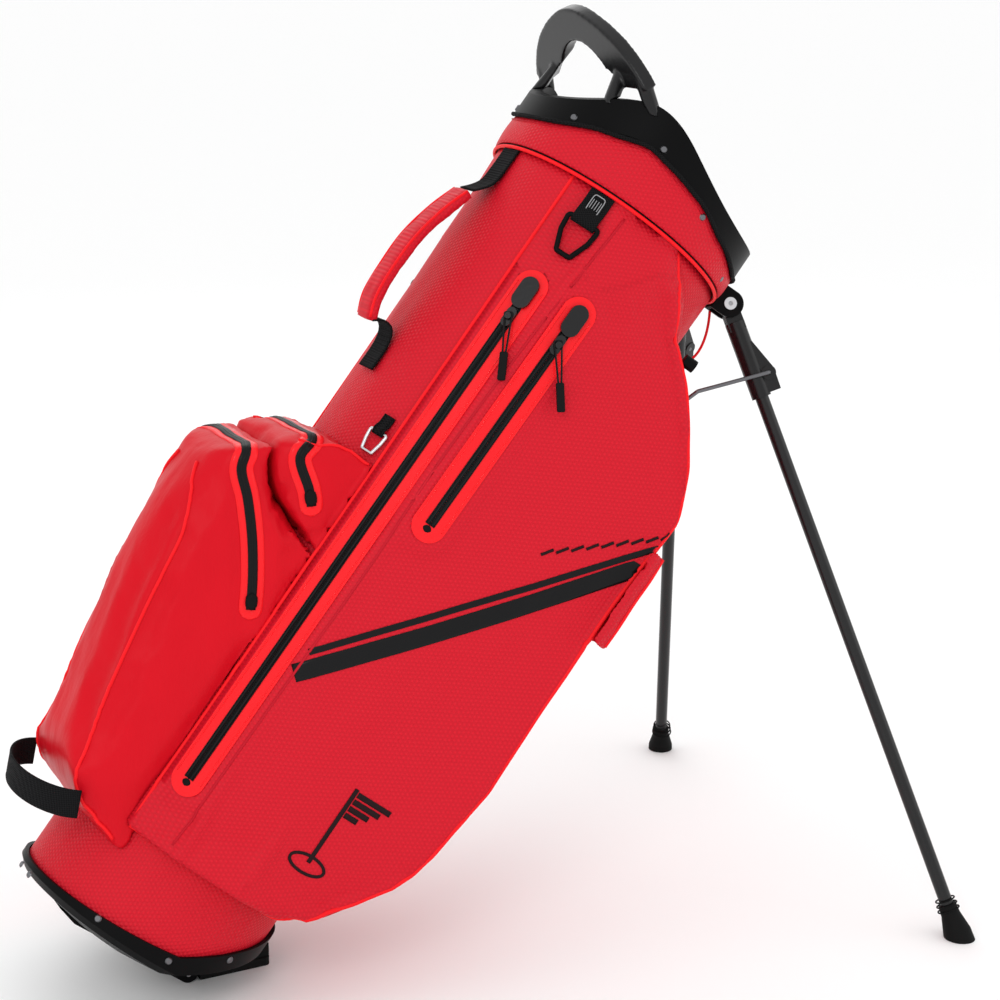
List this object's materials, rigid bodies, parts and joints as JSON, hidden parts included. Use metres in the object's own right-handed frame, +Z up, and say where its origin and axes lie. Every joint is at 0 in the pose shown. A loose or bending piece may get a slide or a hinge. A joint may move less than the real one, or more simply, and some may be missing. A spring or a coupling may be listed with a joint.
{
  "type": "golf stand bag",
  "caption": "Golf stand bag leaning back on two spread legs, with a four-way club mouth, side pockets, a ball pocket, a carry grip and a leg mechanism worked by its hinged foot.",
  "frame": {"origin": "middle of the sole of the hinged foot, on the ground", "axes": "+Z up, +X from the base towards the legs in the direction the bag leans, +Y across the bag towards its far leg"},
  "size_m": [0.8487, 0.5841, 0.8688],
  "materials": {
    "moulded_black": "semi-gloss moulded plastic",
    "foot_rubber": "moulded rubber",
    "steel": "plain steel",
    "spring_steel": "dark spring steel wire",
    "leg_tube": "black anodised aluminium tube",
    "glass_rod": "pultruded stay",
    "red_fabric": "textured woven nylon",
    "red_nylon": "smooth woven nylon",
    "red_piping": "sewn piping",
    "red_tape": "smooth welded zip band",
    "lining": "plain lining cloth",
    "black_webbing": "black webbing",
    "zip_coil": "coil chain",
    "zip_metal": "black painted metal",
    "pull_rubber": "moulded pull tab",
    "elastic": "red elastic cord"
  },
  "bodies": {
    "bag": {"bag_tube": "red_fabric", "ball_pocket": "red_nylon", "base_tray": "moulded_black", "carry_grip": "red_nylon", "carry_webbing": "black_webbing", "collar_cover": "red_fabric", "collar_piping": "red_piping", "divider_cross": "moulded_black", "divider_panels": "lining", "edge_button": "steel", "elastic_cord": "elastic", "foot_pin": "steel", "hip_pad_far": "red_fabric", "hip_pad_near": "red_fabric", "key_tab": "black_webbing", "leg_bracket": "moulded_black", "leg_pins": "steel", "lift_handle": "moulded_black", "lower_loop": "black_webbing", "rim_rivets": "steel", "rod_guides": "moulded_black", "side_pocket_far": "red_fabric", "side_pocket_near": "red_fabric", "spine_cover": "black_webbing", "stay_rods": "glass_rod", "strap_tab": "black_webbing", "top_ring": "moulded_black", "tray_rivets": "steel", "valuables_pocket": "red_nylon", "zip_ball": "zip_coil", "zip_bands": "red_tape", "zip_chains": "zip_coil", "zip_garages": "moulded_black", "zip_valuables": "zip_coil"},
    "base_foot": {"base_foot": "foot_rubber"},
    "leg_near": {"leg_sleeve_near": "moulded_black", "leg_tube_near": "leg_tube", "leg_foot_near": "foot_rubber"},
    "leg_far": {"leg_sleeve_far": "moulded_black", "leg_tube_far": "leg_tube", "leg_foot_far": "foot_rubber"},
    "arm_near": {"actuator_arm_near": "spring_steel"},
    "arm_far": {"actuator_arm_far": "spring_steel"},
    "rod": {"push_rod": "spring_steel", "rod_runner": "moulded_black"},
    "strap_ring": {"strap_ring": "steel"},
    "key_ring": {"key_ring": "steel"},
    "slider_ball": {"zip_slider_ball": "zip_metal"},
    "slider_valuables": {"zip_slider_valuables": "zip_metal"},
    "slider_long_near": {"zip_slider_long_near": "zip_metal"},
    "pull_long_near": {"pull_cord_long_near": "zip_coil", "pull_tab_long_near": "pull_rubber"},
    "slider_short_near": {"zip_slider_short_near": "zip_metal"},
    "pull_short_near": {"pull_cord_short_near": "zip_coil", "pull_tab_short_near": "pull_rubber"},
    "slider_long_far": {"zip_slider_long_far": "zip_metal"},
    "pull_long_far": {"pull_cord_long_far": "zip_coil", "pull_tab_long_far": "pull_rubber"}
  },
  "joints": [
    {"name": "leg_near_fold", "type": "hinge", "parent": "bag", "child": "leg_near", "pos_m": [0.51448, -0.045, 0.58729], "axis": [0.3431, 0.8973, -0.2778], "range_deg": [0, 54.6]},
    {"name": "leg_far_fold", "type": "hinge", "parent": "bag", "child": "leg_far", "pos_m": [0.51448, 0.045, 0.58729], "axis": [-0.3431, 0.8973, 0.2778], "range_deg": [0, 54.6]},
    {"name": "push_rod_slide", "type": "slide", "parent": "bag", "child": "rod", "axis": [0.6293, 0, 0.7771], "range_m": [-0.05956, 0]},
    {"name": "arm_near_swing", "type": "hinge", "parent": "leg_near", "child": "arm_near", "pos_m": [0.54148, -0.07496, 0.5239], "axis": [0.3431, 0.8973, -0.2778], "range_deg": [-71.45, 0]},
    {"name": "arm_far_swing", "type": "hinge", "parent": "leg_far", "child": "arm_far", "pos_m": [0.54148, 0.07496, 0.5239], "axis": [-0.3431, 0.8973, 0.2778], "range_deg": [-71.45, 0]},
    {"name": "base_foot_fold", "type": "hinge", "parent": "bag", "child": "base_foot", "pos_m": [-0.04181, 0, 0.009], "axis": [0, 1, 0], "range_deg": [0, 50]},
    {"name": "slider_long_near_slide", "type": "slide", "parent": "bag", "child": "slider_long_near", "axis": [0.6333, -0.0056, 0.7739], "range_m": [-0.479, 0]},
    {"name": "pull_long_near_swing", "type": "hinge", "parent": "slider_long_near", "child": "pull_long_near", "pos_m": [0.2515, -0.09794, 0.60659], "axis": [-0.5716, -0.6775, 0.4629], "range_deg": [-45, 60]},
    {"name": "slider_short_near_slide", "type": "slide", "parent": "bag", "child": "slider_short_near", "axis": [0.6422, -0.0058, 0.7666], "range_m": [-0.184, 0]},
    {"name": "pull_short_near_swing", "type": "hinge", "parent": "slider_short_near", "child": "pull_short_near", "pos_m": [0.28598, -0.12717, 0.58253], "axis": [-0.2554, -0.9445, 0.2068], "range_deg": [-45, 60]},
    {"name": "slider_long_far_slide", "type": "slide", "parent": "bag", "child": "slider_long_far", "axis": [0.6333, 0.0056, 0.7739], "range_m": [-0.479, 0]},
    {"name": "pull_long_far_swing", "type": "hinge", "parent": "slider_long_far", "child": "pull_long_far", "pos_m": [0.2515, 0.09794, 0.60659], "axis": [-0.5716, 0.6775, 0.4629], "range_deg": [-60, 45]},
    {"name": "slider_ball_slide", "type": "hinge", "parent": "bag", "child": "slider_ball", "pos_m": [-0.34283, 0.00259, 0.42026], "axis": [-0.1682, 0.9763, 0.1362], "range_deg": [0, 15.38]},
    {"name": "slider_valuables_slide", "type": "hinge", "parent": "bag", "child": "slider_valuables", "pos_m": [-0.10217, 0.04149, 0.43861], "axis": [-0.1682, 0.9763, 0.1362], "range_deg": [0, 6.02]},
    {"name": "strap_ring_swing", "type": "hinge", "parent": "bag", "child": "strap_ring", "pos_m": [0.32496, -0.10136, 0.68479], "axis": [0.6287, -0.5878, -0.5091], "range_deg": [-100, 0]},
    {"name": "key_ring_swing", "type": "hinge", "parent": "bag", "child": "key_ring", "pos_m": [0.14215, -0.062, 0.50598], "axis": [0.4003, -0.8572, -0.3241], "range_deg": [-100, 0]}
  ],
  "couplings": [
    {"joint": "leg_far_fold", "follows": "leg_near_fold", "ratio": 1},
    {"joint": "push_rod_slide", "follows": "leg_near_fold", "m_per_rad": -0.062503},
    {"joint": "arm_near_swing", "follows": "leg_near_fold", "ratio": -1.3086},
    {"joint": "arm_far_swing", "follows": "leg_near_fold", "ratio": -1.3086},
    {"joint": "base_foot_fold", "follows": "leg_near_fold", "ratio": 0.91575}
  ]
}
